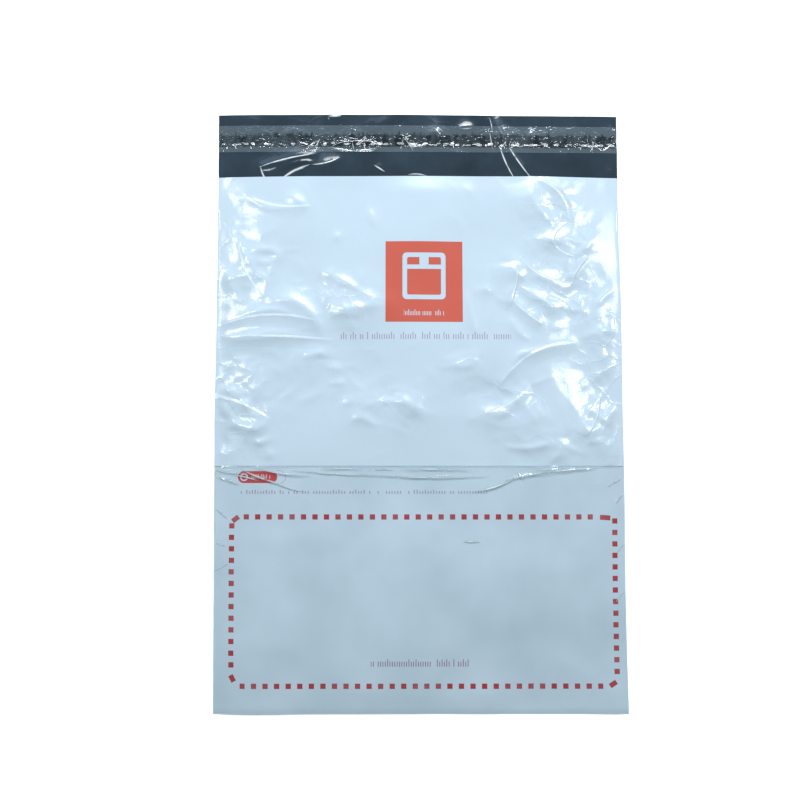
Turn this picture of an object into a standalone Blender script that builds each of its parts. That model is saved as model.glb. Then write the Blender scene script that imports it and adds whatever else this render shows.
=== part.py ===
"""An empty poly mailer bag lying on its back, with its self-seal flap open.

The bag is one sheet of film folded at the bottom and welded along both sides, so it is one solid:
front panel, back panel and flap, with the inside open at the mouth. Loose pieces on it are the clear
document pocket, the adhesive strip on the flap and the release liner over that strip.

Metres, +Z up. X runs across the bag, +Y towards the flap, and the origin is under the middle of the
whole bag on the surface that it lies on.
"""

import math

import bmesh
import bpy

# Driving sizes
BAG_WIDTH = 0.280  # outside, weld to weld
BODY_LENGTH = 0.3705  # bottom fold to mouth
FLAP_LENGTH = 0.0445  # mouth to the flap's free edge
FILM = 0.00007  # film of the bag
CLEAR_FILM = 0.00005  # film of the pocket and of the liner
GAP = 0.0003  # between pieces that rest on each other
WELD_HEIGHT = 0.00015  # inside height left at the welds and the bottom fold
CROWN = 0.0075  # how far the air inside lifts the front panel in the middle
CROWN_SQUARENESS = 4  # power of the fall towards the welds, higher is flatter in the middle
RISE_SHARE = 0.34  # share of the inside length over which the lift builds up from the fold
MOUTH_FALL_START = 0.6  # share of the inside length where the lift starts to fall again
MOUTH_SHARE = 0.86  # share of that lift which reaches the mouth

POCKET_LENGTH = 0.1675  # bottom fold to the pocket's mouth
POCKET_SIDE_MARGIN = 0.0006  # pocket film stops this far inside the bag's edge
POCKET_LIP_LIFT = 0.0006  # the pocket's mouth stands this much prouder
POCKET_LIP_START = 0.8  # share of the pocket's length where its lip starts to lift

STRIP_WIDTH = 0.0087
STRIP_LENGTH = 0.276
STRIP_THICKNESS = 0.0001
STRIP_FROM_TOP = 0.0187  # flap's free edge to the middle of the adhesive

LINER_WIDTH = 0.0188
LINER_LENGTH = 0.2796
LINER_FROM_TOP = 0.0173  # flap's free edge to the middle of the liner
LINER_RIPPLE = 0.00035  # height of the liner's ripples
LINER_RIPPLES = 11

CELLS_ACROSS = 20
CELLS_ALONG = 24
LINER_CELLS = 66

# Places that follow from them
HALF_WIDTH = BAG_WIDTH / 2
TOTAL_LENGTH = BODY_LENGTH + FLAP_LENGTH
BOTTOM_Y = -TOTAL_LENGTH / 2
MOUTH_Y = BOTTOM_Y + BODY_LENGTH
TOP_Y = TOTAL_LENGTH / 2
INSIDE_HALF_WIDTH = HALF_WIDTH - FILM
INSIDE_BOTTOM_Y = BOTTOM_Y + FILM


def clear_scene():
    for old in list(bpy.data.objects):
        bpy.data.objects.remove(old)


def plain_material(name, colour, roughness, alpha=1.0):
    material = bpy.data.materials.new(name)
    material.use_nodes = True
    shader = material.node_tree.nodes["Principled BSDF"]
    shader.inputs["Base Color"].default_value = (*colour, 1.0)
    shader.inputs["Roughness"].default_value = roughness
    shader.inputs["Metallic"].default_value = 0.0
    shader.inputs["Alpha"].default_value = alpha
    return material


def object_from(bm, name, collection, material):
    mesh = bpy.data.meshes.new(name)
    bm.to_mesh(mesh)
    bm.free()
    mesh.shade_smooth()
    mesh.set_sharp_from_angle(angle=math.radians(40))
    mesh.materials.append(material)
    piece = bpy.data.objects.new(name, mesh)
    collection.objects.link(piece)
    return piece


def thicken(piece, thickness, offset):
    """Gives an open sheet its thickness. offset 1 grows it outwards from the sheet, 0 both ways."""
    solidify = piece.modifiers.new("Film", "SOLIDIFY")
    solidify.thickness = thickness
    solidify.offset = offset
    solidify.use_even_offset = False


def lift_at(x, y):
    """How far the front panel stands off the back panel at a point of the bag."""
    across = 1 - min(1, abs(x) / INSIDE_HALF_WIDTH) ** CROWN_SQUARENESS
    up_the_bag = (y - INSIDE_BOTTOM_Y) / (MOUTH_Y - INSIDE_BOTTOM_Y)
    from_bottom = 1 - (1 - min(1, up_the_bag / RISE_SHARE)) ** 2
    past_fall_start = max(0, up_the_bag - MOUTH_FALL_START) / (1 - MOUTH_FALL_START)
    towards_mouth = 1 - (1 - MOUTH_SHARE) * past_fall_start
    return CROWN * across * from_bottom * towards_mouth


def front_outside_z(x, y):
    return FILM + WELD_HEIGHT + lift_at(x, y) + FILM


def make_mailer_film(collection, film_material):
    """A flat box without its mouth end is the inside of the bag. Its back runs on as the flap."""
    bm = bmesh.new()
    bmesh.ops.create_cube(bm, size=1.0)
    size = (2 * INSIDE_HALF_WIDTH, MOUTH_Y - INSIDE_BOTTOM_Y, WELD_HEIGHT)
    middle = (0, (MOUTH_Y + INSIDE_BOTTOM_Y) / 2, FILM + WELD_HEIGHT / 2)
    bmesh.ops.scale(bm, vec=size, verts=bm.verts)
    bmesh.ops.translate(bm, vec=middle, verts=bm.verts)

    for direction, cuts in ((0, CELLS_ACROSS - 1), (1, CELLS_ALONG - 1)):
        run = [e for e in bm.edges if abs((e.verts[1].co - e.verts[0].co).normalized()[direction]) > 0.9]
        bmesh.ops.subdivide_edges(bm, edges=run, cuts=cuts, use_grid_fill=True)

    touching = 1e-6
    mouth_end = [f for f in bm.faces if all(abs(v.co.y - MOUTH_Y) < touching for v in f.verts)]
    bmesh.ops.delete(bm, geom=mouth_end, context="FACES")

    back_edge = [
        e
        for e in bm.edges
        if e.is_boundary and all(abs(v.co.y - MOUTH_Y) < touching and v.co.z < FILM + touching for v in e.verts)
    ]
    flap = bmesh.ops.extrude_edge_only(bm, edges=back_edge)
    flap_end = [v for v in flap["geom"] if isinstance(v, bmesh.types.BMVert)]
    bmesh.ops.translate(bm, vec=(0, FLAP_LENGTH, 0), verts=flap_end)

    for vert in bm.verts:
        if vert.co.z > FILM + WELD_HEIGHT / 2:
            vert.co.z += lift_at(vert.co.x, vert.co.y)

    bmesh.ops.recalc_face_normals(bm, faces=bm.faces)
    lowest = min(bm.faces, key=lambda f: f.calc_center_median().z)
    if lowest.normal.z > 0:
        bmesh.ops.reverse_faces(bm, faces=bm.faces)
    bag = object_from(bm, "mailer_film", collection, film_material)
    thicken(bag, FILM, 1)
    return bag


def make_pocket_film(collection, clear_material):
    """The clear sheet that lies over the front panel and holds the parcel slip behind its free top edge."""
    half_width = HALF_WIDTH - POCKET_SIDE_MARGIN
    length = POCKET_LENGTH - POCKET_SIDE_MARGIN
    rows = round(CELLS_ALONG * POCKET_LENGTH / BODY_LENGTH)
    bm = bmesh.new()
    bmesh.ops.create_grid(bm, x_segments=CELLS_ACROSS, y_segments=rows, size=0.5)
    for vert in bm.verts:
        up = vert.co.y + 0.5
        vert.co.x *= 2 * half_width
        vert.co.y = BOTTOM_Y + POCKET_SIDE_MARGIN + up * length
        lip = POCKET_LIP_LIFT * max(0, up - POCKET_LIP_START) / (1 - POCKET_LIP_START)
        vert.co.z = front_outside_z(vert.co.x, vert.co.y) + GAP + CLEAR_FILM / 2 + lip
    pocket = object_from(bm, "document_pocket_film", collection, clear_material)
    thicken(pocket, CLEAR_FILM, 0)
    return pocket


def make_adhesive_strip(collection, glue_material):
    bm = bmesh.new()
    bmesh.ops.create_cube(bm, size=1.0)
    bmesh.ops.scale(bm, vec=(STRIP_LENGTH, STRIP_WIDTH, STRIP_THICKNESS), verts=bm.verts)
    strip = object_from(bm, "adhesive_strip", collection, glue_material)
    strip.location = (0, TOP_Y - STRIP_FROM_TOP, FILM + GAP + STRIP_THICKNESS / 2)
    return strip


def make_release_liner(collection, liner_material):
    """A loose clear tape that lies over the adhesive in shallow ripples."""
    bm = bmesh.new()
    bmesh.ops.create_grid(bm, x_segments=LINER_CELLS, y_segments=1, size=0.5)
    for vert in bm.verts:
        ripple = (1 - math.cos(2 * math.pi * LINER_RIPPLES * (vert.co.x + 0.5))) / 2
        vert.co = (vert.co.x * LINER_LENGTH, vert.co.y * LINER_WIDTH, ripple * LINER_RIPPLE)
    liner = object_from(bm, "release_liner", collection, liner_material)
    liner.location = (0, TOP_Y - LINER_FROM_TOP, FILM + GAP + STRIP_THICKNESS + GAP + CLEAR_FILM / 2)
    thicken(liner, CLEAR_FILM, 0)
    return liner


def main():
    clear_scene()
    collection = bpy.data.collections.new("poly_mailer_bag")
    bpy.context.scene.collection.children.link(collection)
    white_film = plain_material("white_film", (0.60, 0.75, 0.87), 0.22)
    clear_film = plain_material("clear_film", (0.72, 0.82, 0.88), 0.12, alpha=0.25)
    hot_melt = plain_material("hot_melt_adhesive", (0.10, 0.14, 0.16), 0.15)
    liner_film = plain_material("liner_film", (0.35, 0.42, 0.47), 0.20, alpha=0.5)
    make_mailer_film(collection, white_film)
    make_pocket_film(collection, clear_film)
    make_adhesive_strip(collection, hot_melt)
    make_release_liner(collection, liner_film)


main()
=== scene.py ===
# Poly mailer bag, empty, lying on its back with the flap open.
# Each piece of film is a grid of heights, with listed and random creases, and is then thickened.
# Everything is in metres unless a note says mm. Rows run along +Y and columns along +X.
import math

import bpy
import numpy as np
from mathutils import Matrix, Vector


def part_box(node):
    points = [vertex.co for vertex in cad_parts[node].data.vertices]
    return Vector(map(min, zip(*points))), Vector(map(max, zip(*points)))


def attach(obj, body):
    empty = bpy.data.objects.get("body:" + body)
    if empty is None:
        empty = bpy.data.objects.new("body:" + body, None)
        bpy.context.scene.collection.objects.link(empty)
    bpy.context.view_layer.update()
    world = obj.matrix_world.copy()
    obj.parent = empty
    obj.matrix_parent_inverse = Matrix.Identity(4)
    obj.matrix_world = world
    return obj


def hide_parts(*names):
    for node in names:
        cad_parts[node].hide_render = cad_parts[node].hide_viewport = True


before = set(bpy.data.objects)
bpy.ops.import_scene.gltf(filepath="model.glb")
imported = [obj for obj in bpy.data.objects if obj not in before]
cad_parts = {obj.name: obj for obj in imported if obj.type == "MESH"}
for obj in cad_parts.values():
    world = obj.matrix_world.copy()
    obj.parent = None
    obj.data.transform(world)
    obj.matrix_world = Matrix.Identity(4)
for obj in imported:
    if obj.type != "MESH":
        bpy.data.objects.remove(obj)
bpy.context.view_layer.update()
filmLow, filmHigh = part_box("mailer_film")
pocketLow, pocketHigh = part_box("document_pocket_film")
glueLow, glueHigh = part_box("adhesive_strip")
linerLow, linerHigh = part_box("release_liner")
mm = 0.001


def softNoise(shape, cells, seed, stretch=1.0):  # smooth random field, spread 1, lumps `cells` cells wide
    rows, columns = shape
    pad = int(3 * cells * max(1.0, stretch)) + 8
    raw = np.random.default_rng(seed).standard_normal((rows + pad, columns + pad))
    fy = np.fft.fftfreq(rows + pad)[:, None] * stretch
    fx = np.fft.fftfreq(columns + pad)[None, :]
    keep = np.exp(-(fx * fx + fy * fy) * (cells * 2.2) ** 2)
    field = np.fft.ifft2(np.fft.fft2(raw) * keep).real[:rows, :columns]
    return (field - field.mean()) / field.std()


def ramp(value, low, high):  # 0 below low, 1 above high, smooth between
    t = np.clip((value - low) / (high - low), 0, 1)
    return t * t * (3 - 2 * t)


def roundedRoute(points, stepsPerLeg=6):  # a smooth curve through a crease's points
    p = [np.array(q, float) for q in points]
    if len(p) == 2:
        return [p[0] + (p[1] - p[0]) * k / stepsPerLeg for k in range(stepsPerLeg + 1)]
    ends = [2 * p[0] - p[1]] + p + [2 * p[-1] - p[-2]]
    route = []
    for a, b, c, d in zip(ends, ends[1:], ends[2:], ends[3:]):
        for k in range(stepsPerLeg):
            t = k / stepsPerLeg
            route.append(0.5 * (2 * b + (c - a) * t + (2 * a - 5 * b + 4 * c - d) * t * t
                                + (3 * b - a - 3 * c + d) * t ** 3))
    route.append(p[-1])
    return route


def creaseField(x, y, creases, crest=0.0005):
    # each crease is (height, width, x, y, x, y...) in mm: a sharp crest that falls away over its width
    total = np.zeros_like(x)
    for height, width, *places in creases:
        route = [q * mm for q in roundedRoute(list(zip(places[::2], places[1::2])))]
        reach = 6 * width * mm
        xs, ys = [q[0] for q in route], [q[1] for q in route]
        near = (x > min(xs) - reach) & (x < max(xs) + reach) & (y > min(ys) - reach) & (y < max(ys) + reach)
        px, py = x[near], y[near]
        if px.size == 0:
            continue
        nearest = np.full(px.shape, 9.0)
        along = np.zeros(px.shape)
        legs = len(route) - 1
        for k, (a, b) in enumerate(zip(route, route[1:])):
            leg = b - a
            t = np.clip(((px - a[0]) * leg[0] + (py - a[1]) * leg[1]) / (leg @ leg), 0, 1)
            away = np.hypot(px - a[0] - t * leg[0], py - a[1] - t * leg[1])
            closer = away < nearest
            nearest[closer] = away[closer]
            along[closer] = ((k + t) / legs)[closer]
        taper = np.sin(np.pi * np.clip(along * 0.86 + 0.07, 0, 1)) ** 0.6
        fall = np.exp(-(np.sqrt(nearest ** 2 + crest ** 2) - crest) / (width * mm))
        total[near] = np.maximum(total[near], height * mm * taper * fall) + 0.35 * np.minimum(
            total[near], height * mm * taper * fall)
    return total


def randomCreases(count, seed, area, strength, length=(6, 22), height=(0.15, 0.6), width=(1.2, 4)):
    # short curved creases scattered over area (mm), kept where strength(x, y) allows
    pick = np.random.default_rng(seed)
    found = []
    while len(found) < count:
        x, y = pick.uniform(area[0], area[1]), pick.uniform(area[2], area[3])
        angle, bend = pick.uniform(0, 2 * np.pi), pick.uniform(-0.9, 0.9)
        reach, share = pick.uniform(*length), strength(x, y)
        tall, wide = pick.uniform(*height), pick.uniform(*width)
        if pick.uniform() > share:
            continue
        middle = (x + reach / 2 * math.cos(angle), y + reach / 2 * math.sin(angle))
        end = (middle[0] + reach / 2 * math.cos(angle + bend), middle[1] + reach / 2 * math.sin(angle + bend))
        found.append((tall * (0.5 + 0.5 * share), wide, x, y, *middle, *end))
    return found


bag = {
    "flap": 0.0445,  # mouth to the flap's free edge
    "film": 0.00007,
    "crown": 0.0055,  # lift of the front over the back
    "mouthShare": 0.62,
    "weldLand": 0.0022,  # flat width at each side weld
    "gap": 0.0001,  # middle of front film to middle of back film at the welds
    "columns": 184,
    "calmRows": 36,  # from the bottom fold to just under the pocket's lip
    "openRows": 153,  # from there to the mouth
    "rowsPerBackRow": 9,
    "flapRows": 54,
    "cell": 0.0009,  # spacing of the height field that the rows read
}
outline = {  # how far the edges bow outwards, (y, mm) up each side and (x, mm) along the flap's free edge
    "left": [(-207, 0), (-150, 0.6), (-60, 1.3), (0, 2.0), (60, 1.4), (150, 1.5), (207, 2.1)],
    "right": [(-207, 1.4), (-150, 0.6), (-60, 1.1), (30, 1.0), (70, 1.3), (125, 0.2), (207, 0.1)],
    "top": [(-140, 1.2), (-80, 1.6), (0, 1.6), (60, 0.8), (100, 0.5), (140, 0.1)],
}
halfWidth = filmHigh.x
topY = filmHigh.y
bottomY = filmLow.y
mouthY = topY - bag["flap"]
lipY = pocketHigh.y

frontCreases = [  # (height, width, x, y, x, y...) in mm from the middle of the bag
    # upper left
    (0.45, 2.5, -120, 149, -105, 141, -78, 141),
    (0.9, 6, -91, 149, -78, 142),
    (0.8, 4, -127, 123, -122, 111, -115, 96, -106, 89, -109, 76),
    (0.6, 3, -119, 109, -110, 112, -100, 109, -99, 104, -107, 102, -115, 104),
    (0.5, 3, -96, 109, -101, 99, -105, 88),
    (1.2, 7, -138, 88, -132, 91, -121, 93, -115, 92),
    (0.8, 4, -139, 57, -125, 63, -114, 67, -97, 68, -86, 64, -71, 60),
    (1.5, 9, -100, 75, -88, 75, -77, 68, -71, 60, -67, 50),
    (0.7, 3, -137, 51, -127, 49, -118, 51, -105, 52, -82, 53),
    (2.2, 13, -62, 72, -52, 69, -39, 70, -25, 71),
    (1.2, 7, -67, 95, -55, 89, -43, 82, -33, 75),
    (0.4, 3, -60, 119, -55, 121),
    (0.4, 2, -35, 139, -31, 128),
    (0.6, 5, -53, 57, -39, 56),
    # upper right
    (1.6, 9, 78, 160, 80, 146, 90, 133, 100, 123),
    (1.3, 8, 83, 161, 101, 152, 107, 142, 105, 131),
    (0.7, 3.5, 107, 129, 115, 122, 119, 116, 112, 109, 105, 107),
    (0.6, 3, 101, 123, 109, 117, 117, 115),
    (0.7, 5, 89, 119, 98, 116),
    (0.7, 3, 118, 105, 108, 92, 107, 87, 100, 84, 90, 89, 79, 96, 71, 105),
    (1.4, 8, 66, 102, 67, 95, 73, 90),
    (0.8, 3.5, 70, 91, 64, 81, 62, 69),
    (0.8, 3.5, 71, 84, 82, 77, 94, 69),
    (0.8, 3.5, 64, 76, 72, 68, 84, 59),
    (0.6, 3, 63, 62, 68, 53, 76, 47),
    (0.5, 4, 44, 82, 49, 82),
    (0.5, 3, 33, 78, 36, 64, 39, 51),
    (0.7, 3, 139, 87, 126, 76, 123, 70),
    (0.6, 3, 106, 68, 114, 68, 111, 62),
    (0.8, 3.5, 123, 54, 139, 53),
    (0.6, 3, 114, 49, 123, 52, 129, 46, 136, 42),
    # lower left
    (0.7, 3.5, -129, 47, -120, 48, -94, 50, -76, 49, -59, 46),
    (1.2, 7, -80, 35, -68, 38, -67, 34),
    (0.6, 4, -64, 28, -54, 27),
    (0.5, 3, -61, 17, -51, 17),
    (0.4, 3, -52, 3, -45, 4),
    (0.8, 3, -139, 26, -135, 19),
    (0.8, 3.5, -139, 12, -129, 12, -120, 5, -115, -3, -103, -8),
    (1.3, 6, -140, 7, -135, -1, -127, -9, -115, -15, -108, -13, -102, -9),
    (0.8, 4, -111, -21, -110, -24, -102, -21),
    (0.4, 2.5, -106, -26, -100, -35),
    (0.7, 3, -140, -29, -134, -32),
    (1.3, 7, -35, 4, -24, 4, -13, 4, -6, 1, 0, -4),
    (0.5, 3, -33, 8, -18, 13, -5, 10),
    (0.8, 4.5, -46, -10, -40, -7, -31, -12),
    # lower right
    (1.3, 7, 23, 30, 29, 28, 34, 29, 38, 36),
    (0.9, 4, 106, 45, 90, 42, 80, 39, 69, 36, 64, 28, 55, 17),
    (0.5, 2.5, 91, 22, 80, 17, 71, 15),
    (1.8, 10, 46, -3, 52, -4, 58, -4, 66, 4, 73, 12),
    (0.7, 3, 55, 15, 60, 12, 69, 14),
    (0.6, 2.5, 123, 6, 116, -3, 113, -11, 114, -19),
    (0.6, 2.5, 119, -3, 130, -11),
    (1.0, 5, 112, -8, 116, -17, 122, -14),
    (0.5, 2.5, 120, -19, 125, -25),
    (0.5, 2.5, 114, -34, 114, -25, 123, -24, 122, -34),
    (0.6, 2.5, 58, -26, 66, -28, 76, -28, 84, -26),
    (0.7, 4, 98, -28, 94, -33, 90, -38),
    (0.7, 4, 138, -23, 134, -35),
    # under the pocket, broad and soft
    (0.35, 7, -139, -193, -122, -200, -104, -202),
    (0.4, 8, 62, -166, 95, -172, 118, -186, 139, -200),
    (0.3, 8, -126, -160, -95, -164, -60, -160),
    (0.3, 8, -136, -88, -100, -92, -70, -88),
    (0.3, 9, 40, -104, 80, -112, 126, -106),
    (0.3, 7, -40, -193, 0, -198, 50, -195),
]

flapCreases = [
    (0.5, 3, -64, 207, -55, 206),
    (0.8, 2.6, -111, 171, -94, 174, -87, 177, -74, 179),
    (0.6, 2, -108, 171, -106, 160),
    (0.8, 2.6, -100, 162, -97, 169, -87, 173, -78, 174, -74, 171),
    (0.8, 4, -74, 169, -65, 171, -56, 176),
    (0.4, 2, -30, 172, -25, 168),
    (0.5, 1.8, 54, 204, 55, 193, 58, 178, 63, 168, 69, 158),
    (0.5, 1.8, 55, 206, 57, 197, 63, 182, 71, 172, 84, 159),
    (0.4, 1.8, 29, 199, 37, 200),
    (0.5, 3, 11, 195, 15, 195),
    (0.4, 2, 79, 196, 79, 188),
    (0.4, 2, 136, 201, 138, 197),
]


busyPlaces = [  # (x, y, reach across, reach along, strength) in mm: where the front is crumpled
    (-128, 105, 26, 42, 0.55),
    (-128, 5, 30, 40, 0.75),
    (-55, 72, 34, 20, 0.55),
    (-60, 20, 30, 26, 0.30),
    (-20, 2, 30, 14, 0.55),
    (96, 132, 26, 34, 0.65),
    (95, 80, 40, 26, 0.65),
    (128, 20, 20, 60, 0.75),
    (62, 6, 30, 20, 0.65),
    (30, 32, 12, 10, 0.5),
    (90, -25, 40, 14, 0.5),
]


def busyShare(x, y):
    total = np.zeros_like(np.asarray(x, float)) + 0.06
    for bx, by, rx, ry, strength in busyPlaces:
        total = np.maximum(total, strength * np.exp(-((x / mm - bx) / rx) ** 2 - ((y / mm - by) / ry) ** 2))
    return np.where(y < lipY, 0.05, total)


def crumple(shape, cells, seed):  # flat-sided lumps that meet in sharp crests
    one, two = softNoise(shape, cells, seed), softNoise(shape, cells, seed + 100)
    ridges = -np.maximum(np.abs(one), 0.8 * np.abs(two))
    return ridges - ridges.mean()


def frontShape():
    xs = np.arange(-halfWidth, halfWidth + bag["cell"] / 2, bag["cell"])
    xs = np.linspace(-halfWidth, halfWidth, xs.size)
    ys = np.linspace(bottomY + bag["gap"] / 2, mouthY, round((mouthY - bottomY) / bag["cell"]))
    x, y = np.meshgrid(xs, ys)
    cell = bag["cell"]
    inner = halfWidth - bag["weldLand"]
    across = 1 - np.minimum(1, np.abs(x) / inner) ** 4
    up = (y - bottomY) / (mouthY - bottomY)
    along = 1 - (1 - np.minimum(1, up / 0.34)) ** 2
    fall = 1 - (1 - bag["mouthShare"]) * np.clip((up - 0.6) / 0.4, 0, 1)
    base = bag["film"] / 2 + bag["gap"] + bag["crown"] * across * along * fall

    loose = ramp(halfWidth - np.abs(x), bag["weldLand"] * 0.5, 0.010)  # how free of the welds
    calm = 1 - 0.45 * ramp(lipY + 0.004 - y, 0, 0.02)  # under the pocket the film lies calm
    calm *= ramp(mouthY - y, -0.004, 0.012) * 0.7 + 0.3
    busy = busyShare(x, y)
    swell = softNoise(x.shape, 0.040 / cell, 3) * 0.0007
    swell += crumple(x.shape, 0.022 / cell, 4) * 0.0022 * busy
    swell += crumple(x.shape, 0.010 / cell, 5) * 0.0010 * busy ** 1.3
    swell += crumple(x.shape, 0.0045 / cell, 6) * 0.00045 * busy ** 2

    small = randomCreases(260, 11, (-139, 139, bottomY / mm + 4, mouthY / mm - 3),
                          lambda px, py: float(busyShare(px * mm, py * mm)))
    creases = creaseField(x, y, frontCreases) * 1.7 + creaseField(x, y, small, crest=0.0003) * 1.1
    z = base + (swell * calm + creases) * loose
    return x, y, np.maximum(z, base * 0.35 + bag["film"] / 2)


def flapShape():
    xs = np.linspace(-halfWidth, halfWidth, round(2 * halfWidth / bag["cell"]))
    inside = 0.012  # it starts this far inside the mouth
    ys = np.linspace(mouthY - inside, topY, round((topY - mouthY + inside) / bag["cell"]))
    x, y = np.meshgrid(xs, ys)
    cell = bag["cell"]
    swell = 0.0005 + softNoise(x.shape, 0.028 / cell, 21) * 0.00014
    swell += crumple(x.shape, 0.014 / cell, 22) * 0.00016 * (0.5 + 0.8 * np.exp(-((x + 0.02) / 0.06) ** 2))
    area = (-137, 137, mouthY / mm, topY / mm)
    small = randomCreases(60, 23, area, lambda px, py: 0.5, height=(0.06, 0.22))
    creases = creaseField(x, y, flapCreases, crest=0.0002) * 1.7 + creaseField(x, y, small, crest=0.0003)
    loose = ramp(y, mouthY - 0.001, mouthY + 0.011) * ramp(halfWidth - np.abs(x), -0.004, 0.012)
    return x, y, bag["film"] / 2 + np.maximum(0, swell + creases) * loose


def heightAt(shape, px, py):  # reads a shape's height between its rows and columns
    x, y, z = shape
    u = np.interp(px, x[0], np.arange(x.shape[1]))
    v = np.interp(py, y[:, 0], np.arange(y.shape[0]))
    i, j = np.minimum(u.astype(int), x.shape[1] - 2), np.minimum(v.astype(int), x.shape[0] - 2)
    s, t = u - i, v - j
    low = z[j, i] * (1 - s) + z[j, i + 1] * s
    high = z[j + 1, i] * (1 - s) + z[j + 1, i + 1] * s
    return low * (1 - t) + high * t


def bowed(points):  # the outline isn't ruler-straight
    x, y = points[:, 0] / mm, points[:, 1] / mm
    half = halfWidth / mm
    left, right, top = (np.array(outline[side], float) for side in ("left", "right", "top"))
    wander = np.random.default_rng(71).uniform(-0.15, 0.15, (2, 60))
    steps = np.linspace(-210, 210, 60)
    outLeft = np.interp(y, left[:, 0], left[:, 1]) + np.interp(y, steps, wander[0])
    outRight = np.interp(y, right[:, 0], right[:, 1]) + np.interp(y, steps, wander[1])
    outTop = np.interp(x, top[:, 0], top[:, 1])
    moved = points.copy()
    moved[:, 0] += mm * (outRight * np.clip(x / half, 0, 1) ** 2 - outLeft * np.clip(-x / half, 0, 1) ** 2)
    moved[:, 1] += mm * outTop * ramp(y, mouthY / mm - 30, topY / mm)
    return moved


def meshPiece(name, points, faces, flat, materials, slots=None):
    mesh = bpy.data.meshes.new(name)
    mesh.from_pydata([tuple(map(float, p)) for p in bowed(points)], [], faces)
    layer = mesh.uv_layers.new(name="flatMetres")  # where each point lies on the flat film
    corners = np.empty(len(mesh.loops), int)
    mesh.loops.foreach_get("vertex_index", corners)
    layer.data.foreach_set("uv", np.asarray(flat, np.float32)[corners].ravel())
    for material in materials:
        mesh.materials.append(material)
    if slots is not None:
        mesh.polygons.foreach_set("material_index", np.array(slots, np.int32))
    mesh.shade_smooth()
    mesh.validate()
    piece = bpy.data.objects.new(name, mesh)
    bpy.context.scene.collection.objects.link(piece)
    return piece


def thicken(piece, thickness, insideOffset=0):
    solidify = piece.modifiers.new("film thickness", "SOLIDIFY")
    solidify.thickness = thickness
    solidify.offset = 0
    solidify.use_even_offset = False
    solidify.material_offset = insideOffset
    bpy.context.view_layer.update()
    thick = bpy.data.meshes.new_from_object(piece.evaluated_get(bpy.context.evaluated_depsgraph_get()))
    thick.set_sharp_from_angle(angle=math.radians(65))  # the film's cut edges stay crisp
    piece.modifiers.clear()
    piece.data = thick


def gridFaces(rows, columns, first=0, flip=False):
    faces = []
    for j in range(rows - 1):
        for i in range(columns - 1):
            a = first + j * columns + i
            quad = (a, a + 1, a + columns + 1, a + columns)
            faces.append(quad[::-1] if flip else quad)
    return faces


def makeFilm(front, flap, materials):
    columns = bag["columns"] + 1
    split = lipY - 0.005
    levels = np.concatenate([np.linspace(front[1][0, 0], split, bag["calmRows"] + 1)[:-1],
                             np.linspace(split, mouthY, bag["openRows"] + 1)])
    x, y = np.meshgrid(np.linspace(-halfWidth, halfWidth, columns), levels)
    z = heightAt(front, x, y)
    sheets = []  # rows of points from the mouth, down the front, round the fold, up the back, to the flap
    for j in range(x.shape[0] - 1, -1, -1):
        sheets.append(np.stack([x[j], y[j], z[j]], -1))
    frontRowCount = len(sheets)
    backZ = bag["film"] / 2
    foldMiddle = (z[0] + backZ) / 2
    foldRadius = (z[0] - backZ) / 2
    for angle in (45, 90, 135):
        a = math.radians(angle)
        py, pz = y[0] - foldRadius * math.sin(a), foldMiddle + foldRadius * math.cos(a)
        sheets.append(np.stack([x[0], py, pz], -1))
    firstBack = len(sheets)
    backRows = (bag["calmRows"] + bag["openRows"]) // bag["rowsPerBackRow"]
    for k in range(backRows + 1):
        j = k * bag["rowsPerBackRow"]
        height = heightAt(flap, x[j], y[j]) if k >= backRows - 1 else np.full(columns, backZ)
        sheets.append(np.stack([x[j], y[j], height], -1))
    flapRows = np.linspace(mouthY, topY, bag["flapRows"] + 1)[1:]
    for level in flapRows:
        py = np.full(columns, level)
        sheets.append(np.stack([x[0], py, heightAt(flap, x[0], py)], -1))

    points = np.concatenate(sheets)
    flat = points[:, :2]
    faces, slots = [], []
    for r in range(len(sheets) - 1):
        for i in range(columns - 1):
            a = r * columns + i
            faces.append((a + columns, a + columns + 1, a + 1, a))
            slots.append(0 if r < frontRowCount - 1 else 2)
    step = bag["rowsPerBackRow"]
    for side, column in ((0, 0), (1, columns - 1)):  # the side welds close front to back
        for k in range(backRows):
            lower = (firstBack + k) * columns + column
            run = [(frontRowCount - 1 - j) * columns + column for j in range(k * step, (k + 1) * step + 1)]
            ring = [lower + columns, lower] + run
            faces.append(tuple(ring if side == 0 else ring[::-1]))
            slots.append(0)
        ring = [r * columns + column for r in range(firstBack, frontRowCount - 2, -1)]
        faces.append(tuple(ring if side == 0 else ring[::-1]))
        slots.append(0)
    film = meshPiece("mailer_bag_film", points, faces, flat, materials, slots)
    busy = film.data.attributes.new("busy", "FLOAT", "POINT")
    busy.data.foreach_set("value", np.where(np.arange(len(points)) < frontRowCount * columns,
                                            busyShare(points[:, 0], points[:, 1]), 0.3).astype(np.float32))
    thicken(film, bag["film"], insideOffset=1)
    return film


pocket = {
    "film": 0.00005,
    "clearance": 0.00012,  # middle of the pocket film above the front film
    "lipRise": 0.0005,
    "margin": 0.0006,
}

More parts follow.
